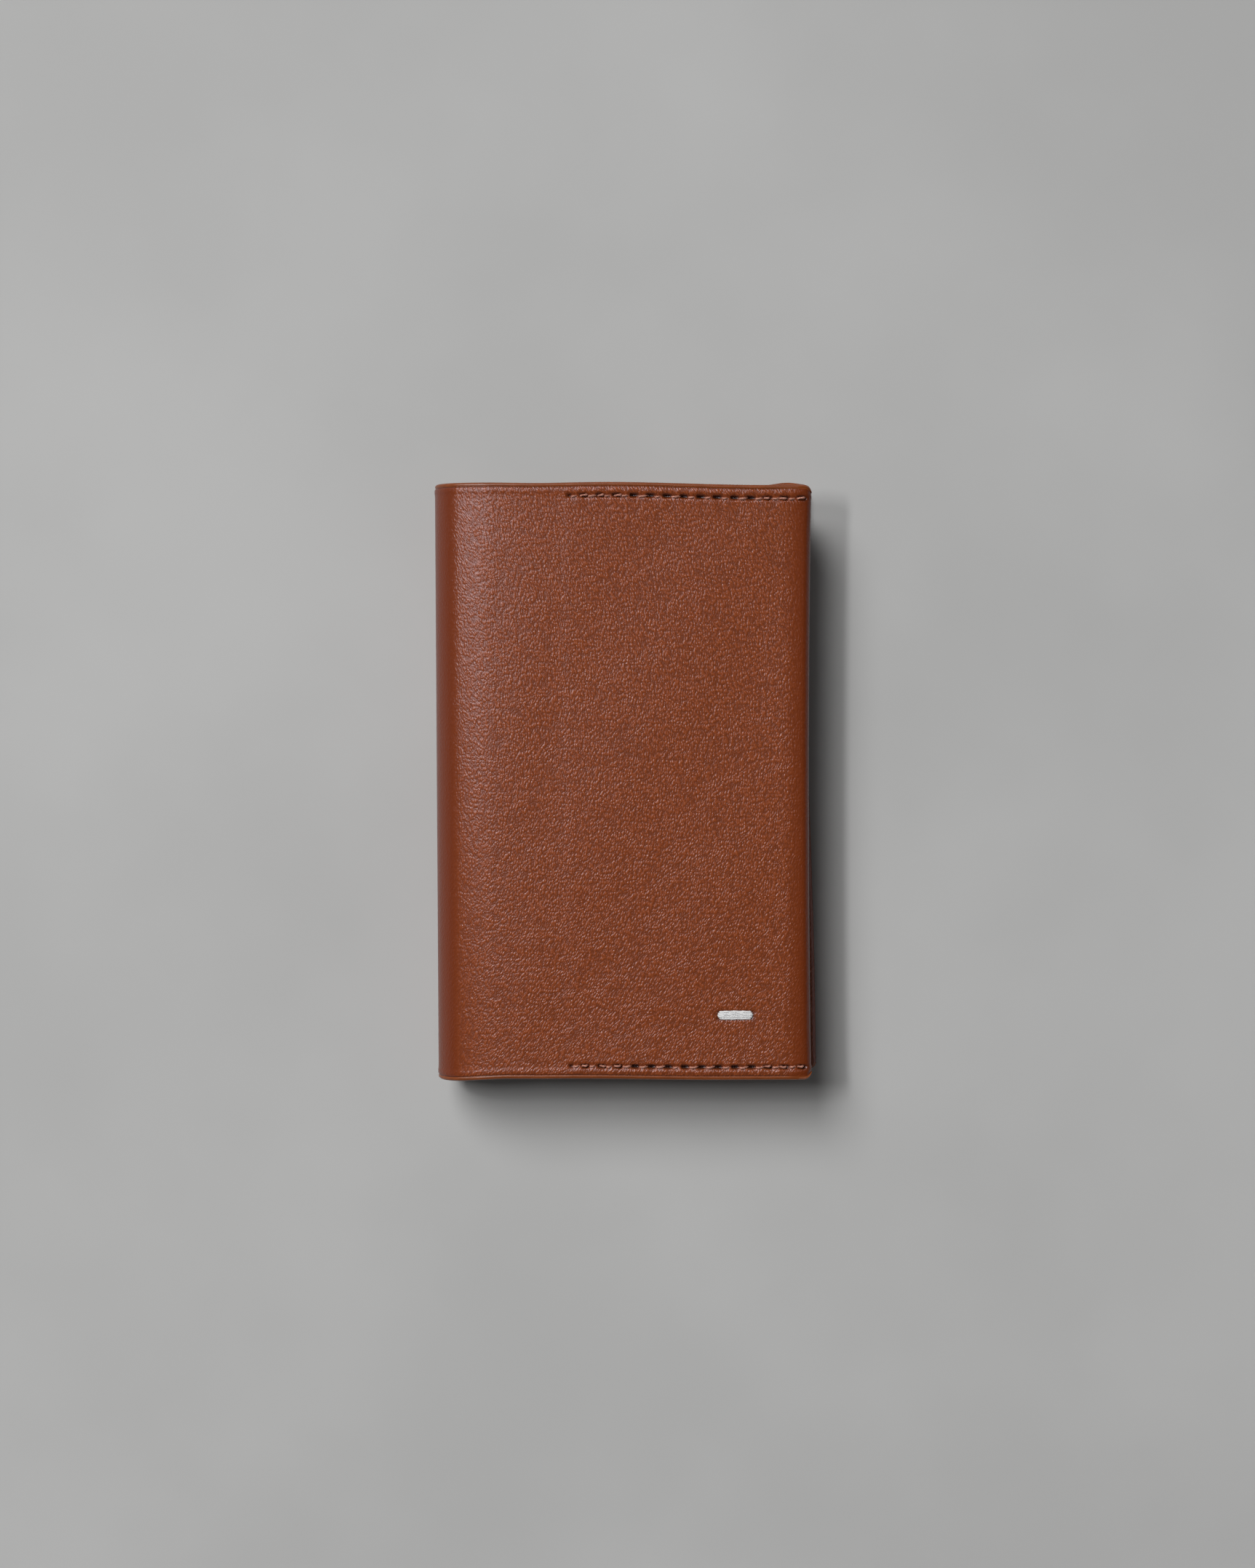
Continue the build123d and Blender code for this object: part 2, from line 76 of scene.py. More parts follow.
lowest, highest = (np.array(corner) / MM for corner in cad_box)
SPINE_X, HALF_HEIGHT, TOP_Z = lowest[0], highest[1], highest[2]
MID_Z = TOP_Z / 2
FRONT_EDGE_X = corners("front_cover")[1][0]
BACK_EDGE_X = corners("back_cover")[1][0]
seam_low, seam_high = corners("front_top_stitching")
mark_low, mark_high = corners("thread_mark")

# ---------------------------------------------------------------- sizes
LEATHER, LINING = 1.2, 0.4  # how thick they are
FLAP_X = -10.2  # where the turned-in flaps end
SHOULDER = ((24.0, 72.0, 86.0), (120.0, 86.0, 90.0))  # radius, and how far the leather has turned at each end
FRONT_GAP, BACK_GAP, SEWN_GAP = 0.3, 0.03, 0.03  # between the leather and its flap
PAINT = 0.55  # how far the rounded, painted edge reaches into the sheet
RIM = 0.72  # from the sheet's end to the creased line beside the painted edge
EDGE_POINTS = 7  # across the rounded edge

# The seams run along the head and the foot, through these needle holes.
SEAM_Y = (seam_low[1] + seam_high[1]) / 2
STITCHES, STITCH_PITCH = 14, 2.84
FIRST_HOLE = (seam_low[0] + seam_high[0] - STITCHES * STITCH_PITCH) / 2
HOLES = FIRST_HOLE + STITCH_PITCH * np.arange(STITCHES + 1)
THREAD_RADIUS = 0.21

# The sewn bar: its middle, its outline and its strands.
MARK_X, MARK_Y = ((mark_low + mark_high) / 2)[:2]
MARK_LENGTH, MARK_WIDTH, MARK_STRANDS = 6.3, 1.5, 5

# The lever's torsion spring: its wire, its coil and its two legs. The wire climbs evenly all the way.
PIN_X, PIN_Y = (sum(corners("lever_pin")) / 2)[:2]
WIRE_RADIUS = 0.18
WIRE_Z = corners("lever_spring")[0][2] + WIRE_RADIUS
COIL_RADIUS, COIL_PITCH, COIL_TURNS = 2.0, 0.48, 3.25
COIL_SLOPE = COIL_PITCH / (2 * np.pi * COIL_RADIUS)
CASE_LEG, LEVER_LEG = 6.2, 2.7


def smooth(value, start, end):
    """0 before start, 1 after end, and a smooth step between them."""
    t = np.clip((value - start) / (end - start), 0, 1)
    return t * t * (3 - 2 * t)


def bell(value, middle, width):
    """1 at the middle, falling off over that width."""
    return np.exp(-(((value - middle) / width) ** 2))


def graded(start, stretches):
    """Places from start on: each stretch is (where it ends, spacing in it)."""
    places = [np.array([start])]
    for end, spacing in stretches:
        count = max(1, round(abs(end - start) / spacing))
        places.append(np.linspace(start, end, count + 1)[1:])
        start = end
    return np.concatenate(places)


def make_object(name, points, faces, materials, kinds=None, marks=None, sharp=50):
    """A smooth-shaded mesh object from points in millimetres. marks are numbers kept at its points, by name."""
    mesh = bpy.data.meshes.new(name)
    mesh.from_pydata((points * MM).tolist(), [], [list(face) for face in faces])
    for material in materials:
        mesh.materials.append(material)
    if kinds is not None:
        mesh.polygons.foreach_set("material_index", np.asarray(kinds, dtype=np.int32))
    mesh.polygons.foreach_set("use_smooth", [True] * len(mesh.polygons))
    mesh.set_sharp_from_angle(angle=math.radians(sharp))
    for mark, values in (marks or {}).items():
        attribute = mesh.attributes.new(mark, "FLOAT", "POINT")
        attribute.data.foreach_set("value", values.astype(np.float32).ravel())
    mesh.update()
    obj = bpy.data.objects.new(name, mesh)
    bpy.context.scene.collection.objects.link(obj)
    return obj


# ---------------------------------------------------------------- how the leather is cut
def front_edge(y):
    """Where the front cover's turned edge lies: it bows in a little between its corners."""
    return FRONT_EDGE_X - 0.4 * (1 - (y / HALF_HEIGHT) ** 2)


def back_edge(y):
    """Where the back cover's turned edge lies: it is skewed, and stands out at the foot."""
    return BACK_EDGE_X - 0.8 * (1 - np.cos(np.pi * np.clip((y + 50) / 75, 0, 1)))


def front_trim(x, y):
    """How much shorter than its full height the front cover is cut, at its head or foot."""
    head = 0.6 * smooth(x, -4, 24) + 0.15 * bell(x, -15, 6)
    foot = 0.28 * (1 - smooth(x, -10, 15)) - 0.75 * (1 - smooth(x, -34, -20))
    return np.where(y > 0, head, foot)


def back_trim(x, y):
    """The same for the back cover. It meets the front cover's cut at the spine."""
    head = 0.25 * smooth(x, 0, 30)
    foot = 0.15 + 0.1 * bell(x, 5, 12)
    own = smooth(x, SPINE_X, SPINE_X + 8)
    return np.where(y > 0, head, foot) * own + front_trim(x, y) * (1 - own)


def seam_window(x):
    """1 along the seams, 0 beyond their ends."""
    return smooth(x, HOLES[0] - 0.9, HOLES[0] - 0.1) * (1 - smooth(x, HOLES[-1] + 0.1, HOLES[-1] + 0.9))


def hole_distance(x):
    """How far past the nearest needle hole a place on the seam lies."""
    count = (x - FIRST_HOLE) / STITCH_PITCH
    return (count - np.clip(np.round(count), 0, STITCHES)) * STITCH_PITCH


def slit(x, side):
    """1 in the slit that the thread has pulled open before each needle hole, 0 elsewhere."""
    past_hole = hole_distance(x)
    return np.exp(-(((past_hole + 0.72) / 0.82) ** 4)) * bell(side, 0.05, 0.32)


def mark_window(x, y):
    """1 inside the sewn bar's outline, 0 outside it."""
    along = np.abs((x - MARK_X) / (MARK_LENGTH / 2 + 0.1))
    across = np.abs((y - MARK_Y) / (MARK_WIDTH / 2 + 0.1))
    return np.exp(-(along**12)) * np.exp(-(across**8))


def seam_relief(x, y):
    """What sewing and edge creasing do to the leather's face: groove, needle holes, puckers, crease and dome."""
    side = np.abs(y) - SEAM_Y
    window = seam_window(x)
    past_hole = hole_distance(x)
    groove = -0.16 * bell(side, 0, 0.32) * window
    holes = -0.4 * slit(x, side) * window
    pucker = 0.06 * (1 - bell(past_hole, 0, 0.9)) * (bell(side, 0.75, 0.42) + bell(side, -0.8, 0.6)) * window
    crease = -0.12 * bell(np.abs(y), HALF_HEIGHT - RIM, 0.13) * (1 - smooth(x, 25.5, 29.5))
    dome = 0.07 * bell(np.abs(y), HALF_HEIGHT - RIM - 0.65, 0.45)
    return groove + holes + pucker + crease + dome


def waves(x, y):
    """The slow unevenness of a hand-sized piece of leather."""
    slow = 0.05 * np.sin(0.13 * x + 0.082 * y + 1.0) + 0.04 * np.sin(0.22 * x - 0.107 * y + 2.0)
    return (slow - 0.05) * (1 - smooth(np.abs(y), 40, 48)) * smooth(x, -24, -12) * (1 - smooth(x, 22, 30))


def leather_relief(x, y, turned, marked):
    """Relief of a cover's grain side: the seams, slow waves, a dip where no flap lies below, and a fall towards the
    turned edge. turned is 1 on the flap. marked: the cover carries the sewn bar. The other cover lies on the
    floor, which keeps it flat."""
    relief = seam_relief(x, y) + waves(x, y) * (1 - turned)
    relief = relief - 0.05 * (1 - smooth(x, FLAP_X - 1.5, FLAP_X + 0.5)) * smooth(x, -24, -14) * (1 - turned)
    relief = relief - 0.3 * np.clip((x - 26.4) / 4.6, 0, 1) ** 2 * (1 - turned)
    if marked:
        return relief - 0.17 * mark_window(x, y) * (1 - turned)
    return np.minimum(relief, 0.0)


def stretch(x, nx, turned):
    """1 where the leather is bent and stretched, which smooths its grain, round the spine and at the turned edge.
    There its colour is also painted darker and more saturated, as shade.
    """
    return np.maximum(smooth(np.abs(nx), 0.12, 0.62), 0.85 * smooth(x, 25.5, 30.5) * (1 - turned))


def recess(x, y, turned, marked):
    """How much painted shade darkens the leather's face: in the needle holes, the groove, the crease and the bar's
    outline, and towards the turned edge.
    """
    side = np.abs(y) - SEAM_Y
    window = seam_window(x)
    dark = window * np.maximum(0.15 * bell(side, 0, 0.3), 1.15 * slit(x, side))
    dark = dark + 0.45 * bell(np.abs(y), HALF_HEIGHT - RIM, 0.14) * (1 - smooth(x, 26, 30))
    # Painted shade towards the front cover's turned edge, on its side away from the light.
    dark = dark + 0.4 * smooth(x, 29.0, FRONT_EDGE_X + 0.2) * (1 - turned)
    if marked:
        dark = dark + 0.8 * mark_window(x, y) * (1 - turned)
    return np.clip(dark, 0, 1)


# ---------------------------------------------------------------- one half of the wallet
# A cover is worked out in its own frame: the outer face of the closed cover lies at height 0, the inside is
# below it, and the middle of the spine is MID_Z below it. The back cover is that, turned upside down.
class Cover:
    """One cover's shape. mirror: it is turned upside down. arcs: its shoulder beside the spine. edge: where its
    turned edge lies. gap: the pocket's depth. trim: how short it is cut. corner: its corners' radius. marked: it
    carries the sewn bar. crest: how far the outer stitches stand up."""

    def __init__(self, mirror, arcs, edge, gap, trim, corner, marked, crest):
        self.mirror = mirror
        self.arcs = arcs
        self.edge = edge
        self.gap = gap
        self.trim = trim
        self.corner = corner
        self.marked = marked
        self.crest = crest

    def flap_gap(self, y):
        """Room between the cover and its flap: the pocket, closed where it is glued and sewn."""
        return SEWN_GAP + (self.gap - SEWN_GAP) * (1 - smooth(np.abs(y), HALF_HEIGHT - 9, HALF_HEIGHT - 3.4))

    def place(self, x, y, height, turned=0.0):
        """Points in the wallet's frame, cut to the cover's outline."""
        over = np.clip(x - (self.edge(y) - self.corner), 0, self.corner)
        corner = self.corner - np.sqrt(self.corner**2 - over**2)
        shift = self.trim(x, y) * smooth(np.abs(y), 42, 47) + corner * smooth(np.abs(y), 46, HALF_HEIGHT)
        poke = 0.45 * bell(x, 27.2, 2.6) * turned * (y > 0)
        shift = shift - poke * smooth(np.abs(y), HALF_HEIGHT - 1.7, HALF_HEIGHT - 0.2)
        z = -height if self.mirror else TOP_Z + height
        return np.stack([x, y - np.sign(y) * shift, z], axis=-1)


FRONT = Cover(
    mirror=False,
    arcs=SHOULDER,
    edge=front_edge,
    gap=FRONT_GAP,
    trim=front_trim,
    corner=1.5,
    marked=True,
    crest=0.1,
)
BACK = Cover(
    mirror=True,
    arcs=(),
    edge=back_edge,
    gap=BACK_GAP,
    trim=back_trim,
    corner=0.9,
    marked=False,
    crest=-0.22,
)


class Path:
    """Stations along a sheet's middle line: place, normal and thickness. Places may differ from row to row."""

    def __init__(self, rows):
        self.rows = rows
        self.x, self.z, self.nx, self.nz, self.depth, self.turned = [], [], [], [], [], []

    def add(self, x, z, nx, nz, depth=1.0, turned=0.0):
        """One more station. depth is a share of the sheet's thickness, and turned is 1 on the flap."""
        self.x.append(np.broadcast_to(x, self.rows.shape))
        self.z.append(np.broadcast_to(z, self.rows.shape))
        self.nx.append(nx)
        self.nz.append(nz)
        self.depth.append(depth)
        self.turned.append(turned)

    def bend(self, arcs, inset, step=0.36):
        """The bend from the middle of the spine to the flat of a cover. Returns where the flat starts."""
        rise = sum(r * (math.sin(math.radians(b)) - math.sin(math.radians(a))) for r, a, b in arcs)
        turn = arcs[0][1] if arcs else 90.0
        radius = (MID_Z - rise) / math.sin(math.radians(turn))
        centre = np.array([SPINE_X + radius, -MID_Z])
        outer = radius
        for number, (radius, first, last) in enumerate(((radius, 0.0, turn), *arcs)):
            way = math.radians(first)
            centre = centre + np.array([-math.cos(way), math.sin(way)]) * (outer - radius)
            outer = radius
            steps = math.ceil(radius * math.radians(last - first) / step)
            for angle in np.radians(np.linspace(first, last, steps + 1))[number > 0 :]:
                nx, nz = -math.cos(angle), math.sin(angle)
                x, z = centre + np.array([nx, nz]) * (radius - inset)
                self.add(x, z, nx, nz)
        return centre[0]

    def level(self, places, z, nz, turned=0.0):
        """A level stretch over these places."""
        for x in places:
            self.add(x, z, 0.0, nz, turned=turned)

    def mouth(self):
        """Rounds off the sheet's free end."""
        x, z, nx, nz, turned = self.x[-1], self.z[-1], self.nx[-1], self.nz[-1], self.turned[-1]
        forward = 1.0 if nz > 0 else -1.0
        for angle in np.radians([25, 50, 70, 84]):
            self.add(x + forward * PAINT * math.sin(angle), z, nx, nz, 0.1 + 0.9 * math.cos(angle), turned)


def folded_path(cover, rows):
    """A cover's leather: round the spine, flat to the edge, over the turned edge, and back to the flap's end."""
    path = Path(rows)
    flat_x = path.bend(cover.arcs, LEATHER / 2)
    outer = LEATHER + cover.flap_gap(rows) / 2
    reach = outer - LEATHER / 2
    fold_x = cover.edge(rows) - outer
    start = HOLES[-1] - 1
    to_fold = [start + (fold_x - start) * share for share in np.linspace(0, 1, 7)]
    path.level(graded(flat_x, ((FLAP_X - 1, 0.5), (start, 0.25)))[1:], -LEATHER / 2, 1.0)
    path.level(to_fold[1:], -LEATHER / 2, 1.0)
    for angle in np.radians(np.linspace(90, -90, 17))[1:]:
        nx, nz = math.cos(angle), math.sin(angle)
        path.add(fold_x + reach * nx, -outer + reach * nz, nx, nz, turned=(1 - nz) / 2)
    path.level(to_fold[-2::-1], -outer - reach, -1.0, 1.0)
    path.level(graded(start, ((FLAP_X + PAINT, 0.55),))[1:], -outer - reach, -1.0, 1.0)
    path.mouth()
    return path


def lining_path(cover, rows):
    """A cover's lining: round the inside of the spine, and flat to the flap."""
    path = Path(rows)
    inset = LEATHER + LINING / 2
    flat_x = path.bend(cover.arcs, inset, 0.6)
    path.level(graded(flat_x, ((FLAP_X - PAINT - 0.3, 0.9),))[1:], -inset, 1.0)
    path.mouth()
    return path


def section(rows, depth):
    """The sheet's closed outline across the spine: outer face, rounded end, inner face, rounded end."""
    angles = np.radians(np.linspace(90, -90, EDGE_POINTS + 2))[1:-1]
    end = rows[-1] + PAINT * np.cos(angles) ** 0.8
    rise = depth / 2 * np.sin(angles)
    face = np.full(len(rows), depth / 2)
    along = np.concatenate([rows, end, rows[::-1], -end[::-1]])
    height = np.concatenate([face, rise, -face, rise[::-1]])
    return along, height


def sheet(name, cover, make_path, half_rows, depth, materials, relief=None, shade=None):
    """A sheet of leather or lining as one closed mesh. Materials: grain side, painted edge, flesh side."""
    rows = np.concatenate([-half_rows[:0:-1], half_rows])
    along, height = section(rows, depth)
    path = make_path(cover, along)
    x, z = np.array(path.x), np.array(path.z)
    nx, nz, depths, turned = (np.array(v)[:, None] for v in (path.nx, path.nz, path.depth, path.turned))
    rise = height[None, :] * depths
    y = np.broadcast_to(along[None, :], x.shape)
    outer = height[None, :] > 0.49 * depth
    if relief:
        rise = rise + outer * relief(x + nx * rise, y, turned, cover.marked)
    points = cover.place(x + nx * rise, y, z + nz * rise, turned).reshape(-1, 3)
    marks = {}
    if shade:
        marks["recess"] = outer * shade(x, y, turned, cover.marked)
        marks["stretch"] = outer * stretch(x, nx, turned)
    faces, kinds = sheet_faces(len(path.x), len(rows), along, depths[:, 0])
    ring = len(along)
    caps = [list(range(ring))[::-1], [(len(path.x) - 1) * ring + k for k in range(ring)]]
    if not cover.mirror:
        faces = faces[:, ::-1]
        caps = [cap[::-1] for cap in caps]
    return make_object(name, points, faces.tolist() + caps, materials, [*kinds, 1, 1], marks)


def sheet_faces(stations, row_count, along, depths):
    """Quads between the stations, and each one's material: 0 grain side, 1 painted edge, 2 flesh side."""
    ring = len(along)
    i, j = np.meshgrid(np.arange(stations - 1), np.arange(ring), indexing="ij")
    after = (j + 1) % ring
    quads = np.stack([i * ring + after, (i + 1) * ring + after, (i + 1) * ring + j, i * ring + j], axis=-1)
    middle = (np.abs(along)[j] + np.abs(along)[after]) / 2
    inner = (j >= row_count + EDGE_POINTS) & (j < 2 * row_count + EDGE_POINTS - 1)
    kinds = np.where(inner, 2, 0)
    kinds = np.where((middle > HALF_HEIGHT - RIM) & ~inner, 1, kinds)
    kinds = np.where((depths[1:] < 0.97)[:, None], 1, kinds)
    return quads.reshape(-1, 4), kinds.ravel()


# ---------------------------------------------------------------- thread
def tube(line, radius, lay=1.1, lobes=3, twist=0.14, aside=(0.0, 1.0, 0.0), segments=12):
    """A thread along a line: points and faces. Its ends close to a point. lobes: its strands. lay: how far apart
    they follow each other. twist: how deep the grooves between them are. aside: a way that the line never takes."""
    step = np.gradient(line, axis=0)
    tangent = step / np.linalg.norm(step, axis=1)[:, None]
    side = np.cross(tangent, aside)
    side = side / np.linalg.norm(side, axis=1)[:, None]
    across = np.cross(side, tangent)
    run = np.concatenate([[0], np.cumsum(np.linalg.norm(np.diff(line, axis=0), axis=1))])
    around = np.linspace(0, 2 * np.pi, segments, endpoint=False)
    wind = lobes * (around[None, :] - 2 * np.pi * run[:, None] / (lay * lobes))
    size = radius * (1 - twist + twist * np.cos(wind))
    ends = np.minimum(1, np.minimum(run, run[::-1].max() - run) / radius + 0.05)
    size = size * np.sqrt(ends)[:, None]
    ring = side[:, None, :] * np.cos(around)[None, :, None] + across[:, None, :] * np.sin(around)[None, :, None]
    points = (line[:, None, :] + ring * size[:, :, None]).reshape(-1, 3)
    faces = []
    for i in range(len(line) - 1):
        for j in range(segments):
            after = (j + 1) % segments
            base, above = i * segments, (i + 1) * segments
            faces.append([base + j, above + j, above + after, base + after])
    faces.append(list(range(segments)))
    faces.append([(len(line) - 1) * segments + j for j in reversed(range(segments))])
    return points, faces


def joined(parts):
    """Several (points, faces) as one."""
    points, faces, start = [], [], 0
    for some_points, some_faces in parts:
        points.append(some_points)
        faces.extend([start + index for index in face] for face in some_faces)
        start += len(some_points)
    return np.concatenate(points), faces


def stitch(cover, side, first, last, inside, lift=0.0, slant=0.12):
    """One stitch: it climbs steeply out of its first hole, arches over and sinks into the slit before the next.
    start and end are how deep its two ends lie."""
    t = np.linspace(0, 1, 40)
    jitter = rng.normal(0, 0.035, 3)
    x = first + (last - first) * t + 0.1 * np.sin(np.pi * t)
    y = side * SEAM_Y - slant + 2 * slant * smooth(t, 0.05, 0.75) + jitter[0]
    crest = 0.1 if inside else cover.crest
    reach = 0.5 + rng.uniform(-0.07, 0.09)
    start, end = 0.85, 0.95
    climb = (start + crest + jitter[1]) * smooth(t, 0, 0.14) - (end + crest) * smooth(t, reach - 0.3, reach + 0.1)
    climb = climb - start + lift * np.sin(np.pi * t) ** 0.5
    if inside:
        height = -(2 * LEATHER + cover.flap_gap(SEAM_Y)) - climb
    else:
        height = climb
    return cover.place(x, y, height)


def seam(name, cover, side, material):
    """A row of stitches through a cover and its flap, sewn back over itself at both ends. The thread sewn back
    stands higher, but not on the back cover's outer face, which lies on the floor."""
    parts = []
    for inside in (False, True):
        lift = 0.0 if cover is BACK and not inside else 0.13
        for first, last in zip(HOLES[:-1], HOLES[1:]):
            parts.append(tube(stitch(cover, side, first, last, inside), THREAD_RADIUS))
        for holes in (HOLES[:4], HOLES[-4:]):
            for first, last in zip(holes[:-1], holes[1:]):
                drift = rng.uniform(-0.35, 0.35)
                line = stitch(cover, side, last + drift, first + drift, inside, lift, rng.uniform(-0.2, 0.05))
                parts.append(tube(line, THREAD_RADIUS * 0.92))
    points, faces = joined(parts)
    return make_object(name, points, faces, [material], sharp=180)


def bar_tack(name, cover, material):
    """A short bar of thick white strands laid side by side, sunk halfway into the leather."""
    parts = []
    for place in np.linspace(-0.5, 0.5, MARK_STRANDS):
        t = np.linspace(-1, 1, 70)
        reach = MARK_LENGTH / 2 - 0.08 - 1.3 * place**2 - rng.uniform(0, 0.06)
        x = MARK_X + reach * t
        y = MARK_Y + place * (MARK_WIDTH - 0.3) * (1 - 0.1 * t**6) + 0.02 * np.sin(5 * t + rng.uniform(0, 6))
        height = -0.07 - 0.28 * np.abs(t) ** 14 + 0.06 * (1 - 4 * place**2)
        parts.append(tube(cover.place(x, y, height), 0.2, lay=1.5))
    points, faces = joined(parts)
    return make_object(name, points, faces, [material], sharp=180)


def torsion_spring(name, material):
    """The lever's spring: a leg held by the case, a left-handed coil round the pin, and a leg on the lever."""
    coil = np.linspace(0, 2 * np.pi * COIL_TURNS, 200)[1:-1]
    case_leg = np.linspace(-CASE_LEG, 0, 12)
    lever_leg = np.linspace(0, LEVER_LEG, 8)
    x = np.concatenate([-case_leg, -COIL_RADIUS * np.sin(coil), np.full_like(lever_leg, -COIL_RADIUS)])
    y = np.concatenate([np.full_like(case_leg, -COIL_RADIUS), -COIL_RADIUS * np.cos(coil), lever_leg])
    coil_length = 2 * np.pi * COIL_TURNS * COIL_RADIUS
    run = np.concatenate([case_leg, COIL_RADIUS * coil, coil_length + lever_leg]) + CASE_LEG
    line = np.stack([PIN_X + x, PIN_Y + y, WIRE_Z + COIL_SLOPE * run], axis=-1)
    points, faces = tube(line, WIRE_RADIUS, twist=0.0, aside=(0.0, 0.0, 1.0))
    return make_object(name, points, faces, [material])


# ---------------------------------------------------------------- materials
class Maker:
    """Builds one node material. Places come in millimetres, from the object's own coordinates."""

    def __init__(self, name, **shader):
        self.material = bpy.data.materials.new(name)
        self.material.use_nodes = True
        self.tree = self.material.node_tree
        self.tree.nodes.clear()
        self.shader = self.node("ShaderNodeBsdfPrincipled", **shader)
        output = self.node("ShaderNodeOutputMaterial")
        self.link(self.shader.outputs[0], output.inputs[0])
        coordinates = self.node("ShaderNodeTexCoord")
        self.place = self.scaled(coordinates.outputs["Object"], (1000, 1000, 1000))

    def link(self, source, target):
        self.tree.links.new(source, target)

    def feed(self, target, value):
        """Gives a socket a number or colour, or links another node's socket to it."""
        if isinstance(value, bpy.types.NodeSocket):
            self.link(value, target)
        else:
            target.default_value = value

    def node(self, kind, settings=None, **inputs):
        """A node. Inputs are numbers, colours or other nodes' sockets, by the socket's name."""
        node = self.tree.nodes.new(kind)
        for key, value in (settings or {}).items():
            setattr(node, key, value)
        for key, value in inputs.items():
            self.feed(node.inputs[key.replace("_", " ")], value)
        return node

    def set(self, name, socket):
        """Links a socket to one of the shader's own."""
        self.link(socket, self.shader.inputs[name])

    def scaled(self, vector, scale, rotation=(0, 0, 0)):
        """Places scaled, then turned by these degrees."""
        turned = [math.radians(angle) for angle in rotation]
        return self.node("ShaderNodeMapping", Vector=vector, Scale=scale, Rotation=turned).outputs[0]

    def noise(self, scale, detail=3.0, roughness=0.5, vector=None, distortion=0.0):
        """Soft noise from 0 to 1. The scale is in cells to a millimetre."""
        return self.node(
            "ShaderNodeTexNoise",
            Vector=vector or self.place,
            Scale=scale,
            Detail=detail,
            Roughness=roughness,
            Distortion=distortion,
        ).outputs[0]

    def cells(self, scale, vector, feature, **inputs):
        """Distance from the middle of the nearest cell."""
        settings = {"feature": feature}
        return self.node("ShaderNodeTexVoronoi", settings, Vector=vector, Scale=scale, **inputs).outputs["Distance"]

    def maths(self, operation, first, second=0.0):
        node = self.node("ShaderNodeMath", {"operation": operation})
        self.feed(node.inputs[0], first)
        self.feed(node.inputs[1], second)
        return node.outputs[0]

    def span(self, value, low, high, to_low=0.0, to_high=1.0):
        """Maps low..high to to_low..to_high, smoothly and clamped."""
        node = self.node("ShaderNodeMapRange", {"interpolation_type": "SMOOTHSTEP"}, Value=value)
        for name, number in (("From Min", low), ("From Max", high), ("To Min", to_low), ("To Max", to_high)):
            node.inputs[name].default_value = number
        return node.outputs[0]

    def mix(self, amount, first, second):
        """The first colour at amount 0, the second at 1."""
        node = self.node("ShaderNodeMix", {"data_type": "RGBA"})
        for index, value in ((0, amount), (6, first), (7, second)):
            self.feed(node.inputs[index], value)
        return node.outputs[2]

    def warped(self, amount, scale):
        """Places moved about by that many millimetres."""
        noise = self.node("ShaderNodeTexNoise", Vector=self.place, Scale=scale, Detail=2.0).outputs["Color"]
        middle = self.node("ShaderNodeVectorMath", {"operation": "SUBTRACT"}, Vector=noise)
        middle.inputs[1].default_value = (0.5, 0.5, 0.5)
        scaled = self.node("ShaderNodeVectorMath", {"operation": "SCALE"}, Vector=middle.outputs[0], Scale=amount)
        moved = self.node("ShaderNodeVectorMath", {"operation": "ADD"}, Vector=self.place)
        self.link(scaled.outputs[0], moved.inputs[1])
        return moved.outputs[0]

    def mark(self, name):
        """Numbers kept at the mesh's points."""
        return self.node("ShaderNodeAttribute", {"attribute_name": name}).outputs["Fac"]

    def bump(self, height, distance):
        """Relief of that many millimetres."""
        return self.node("ShaderNodeBump", Strength=1.0, Distance=distance * MM, Height=height).outputs[0]


def grain_place(make):
    """Places for the leather's grain: cells are longer than wide, and lean one way at the head, the other below."""
    warped = make.warped(1.0, 0.25)
    parts = make.node("ShaderNodeSeparateXYZ")
    make.link(warped, parts.inputs[0])
    x, y, z = parts.outputs
    lean = make.maths("MULTIPLY", make.maths("MULTIPLY", y, y), 0.0045)
    place = make.node("ShaderNodeCombineXYZ")
    make.link(make.maths("ADD", x, lean), place.inputs[0])
    make.link(make.maths("MULTIPLY", y, 0.58), place.inputs[1])
    make.link(z, place.inputs[2])
    return place.outputs[0]


